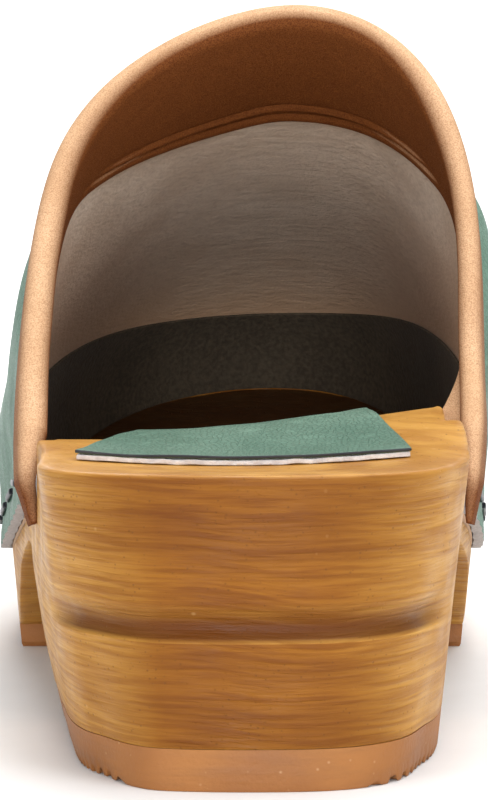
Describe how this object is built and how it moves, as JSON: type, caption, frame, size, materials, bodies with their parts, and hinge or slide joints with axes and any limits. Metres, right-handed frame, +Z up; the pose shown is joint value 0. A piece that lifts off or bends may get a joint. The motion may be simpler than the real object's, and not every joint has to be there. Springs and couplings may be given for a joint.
{
  "type": "wooden clog",
  "caption": "Slip-on clog for the left foot: carved wooden sole with heel, rubber outsoles, and a stapled leather upper with a padded collar.",
  "frame": {"origin": "bottom centre of the whole clog, on the ground under the middle of its box", "axes": "+Z up, +Y from the heel to the toe, +X to the inner (big toe) side"},
  "size_m": [0.0992, 0.2578, 0.1259],
  "materials": {
    "alder_wood": "clear satin lacquer",
    "heel_rubber": "matte, ground edges",
    "forefoot_rubber": "matte, ground edges",
    "green_leather": "satin",
    "lining_leather": "matte split",
    "toe_felt": "matte felt",
    "tan_leather": "soft matte",
    "collar_foam": "matte foam",
    "label_leather": "satin",
    "label_fleece": "matte fleece",
    "staple_steel": "black coated"
  },
  "bodies": {
    "root": {"wooden_sole": "alder_wood", "heel_outsole": "heel_rubber", "forefoot_outsole": "forefoot_rubber", "vamp_leather": "green_leather", "vamp_lining": "lining_leather", "toe_puff": "toe_felt", "collar_binding": "tan_leather", "collar_core": "collar_foam", "heel_label": "label_leather", "heel_label_backing": "label_fleece", "staple_01": "staple_steel", "staple_02": "staple_steel", "staple_03": "staple_steel", "staple_04": "staple_steel", "staple_05": "staple_steel", "staple_06": "staple_steel", "staple_07": "staple_steel", "staple_08": "staple_steel", "staple_09": "staple_steel", "staple_10": "staple_steel", "staple_11": "staple_steel", "staple_12": "staple_steel", "staple_13": "staple_steel", "staple_14": "staple_steel", "staple_15": "staple_steel", "staple_16": "staple_steel", "staple_17": "staple_steel", "staple_18": "staple_steel", "staple_19": "staple_steel", "staple_20": "staple_steel", "staple_21": "staple_steel", "staple_22": "staple_steel", "staple_23": "staple_steel", "staple_24": "staple_steel", "staple_25": "staple_steel", "staple_26": "staple_steel", "staple_27": "staple_steel"}
  },
  "joints": []
}
